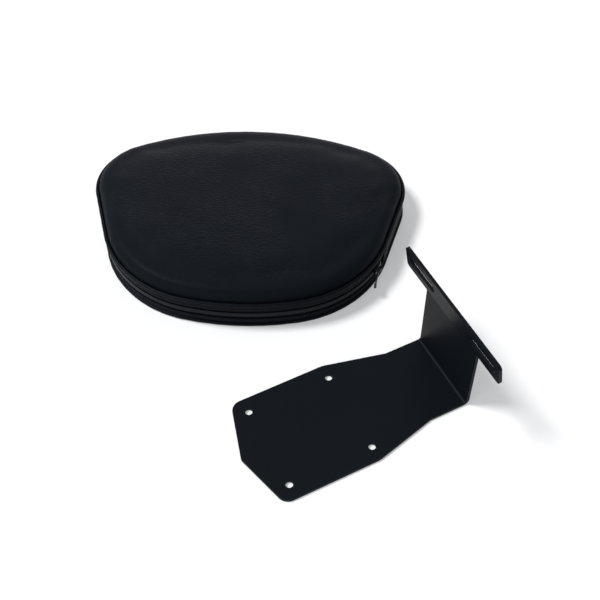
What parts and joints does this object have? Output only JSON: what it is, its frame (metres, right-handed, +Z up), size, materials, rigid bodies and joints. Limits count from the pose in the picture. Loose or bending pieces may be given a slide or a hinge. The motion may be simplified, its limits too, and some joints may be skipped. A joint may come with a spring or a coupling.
{
  "type": "motorcycle driver backrest",
  "caption": "Driver backrest for a motorcycle seat: a piped vinyl cushion with a zipped edge, and the folded steel bracket with a slotted head that carries it",
  "frame": {"origin": "middle of the four seat bolts, on the underside of the bracket's base plate, which is the floor", "axes": "+X from the bracket's nose to its upright, +Y towards the cushion, +Z up out of the base plate"},
  "size_m": [0.3178, 0.465, 0.1089],
  "materials": {
    "powder_coat": "satin black powder coat with a fine texture",
    "vinyl": "black grained upholstery vinyl",
    "piping_vinyl": "black vinyl welt over a cord",
    "zip_tape": "black woven tape with black moulded teeth",
    "zip_metal": "black enamelled zinc casting",
    "foam": "open-cell upholstery foam",
    "plywood": "plain birch plywood",
    "plated_steel": "zinc-plated steel"
  },
  "bodies": {
    "backrest": {"mounting_bracket": "powder_coat", "front_panel": "vinyl", "back_panel": "vinyl", "upper_band": "vinyl", "band_front_strip": "vinyl", "band_back_strip": "vinyl", "zip_tab_left": "vinyl", "zip_tab_right": "vinyl", "front_piping": "piping_vinyl", "back_piping": "piping_vinyl", "zip_stringer_front": "zip_tape", "zip_stringer_back": "zip_tape", "zip_stop_left": "zip_metal", "zip_stop_right": "zip_metal", "foam_core": "foam", "backing_board": "plywood", "tee_nut_left": "plated_steel", "tee_nut_right": "plated_steel"},
    "slider": {"zip_slider": "zip_metal"},
    "pull": {"zip_pull": "zip_metal"}
  },
  "joints": [
    {"name": "slider_run", "type": "hinge", "parent": "backrest", "child": "slider", "pos_m": [0.08092, 0.22676, 0.017], "axis": [0, 0, 1], "range_deg": [-44, 0]},
    {"name": "pull_swing", "type": "hinge", "parent": "slider", "child": "pull", "pos_m": [0.14474, 0.1268, 0.017], "axis": [0, 0, 1], "range_deg": [-12, 140]}
  ]
}
